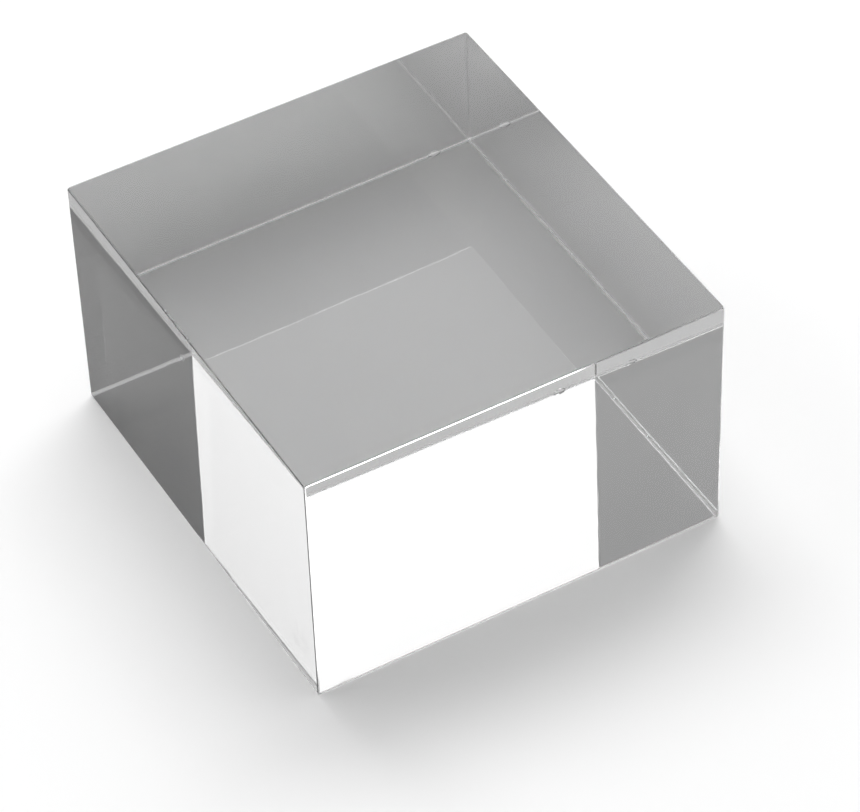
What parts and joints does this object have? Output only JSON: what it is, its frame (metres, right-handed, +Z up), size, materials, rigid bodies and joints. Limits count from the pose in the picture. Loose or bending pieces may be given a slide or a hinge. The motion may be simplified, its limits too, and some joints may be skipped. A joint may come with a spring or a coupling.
{
  "type": "clear acrylic display block",
  "caption": "Low solid block of clear polished acrylic with broken edges, for standing an exhibit on or as a prism-like display piece.",
  "frame": {"origin": "middle of the base face, on the surface that the block stands on", "axes": "+Z up through the sheet's thickness, X across the front, +Y from front to back along the longest side"},
  "size_m": [0.1016, 0.108, 0.0635],
  "materials": {
    "clear_acrylic": "clear cast acrylic (PMMA), refractive index 1.49, all six faces and the broken edges polished"
  },
  "bodies": {
    "root": {"acrylic_block": "clear_acrylic"}
  },
  "joints": []
}
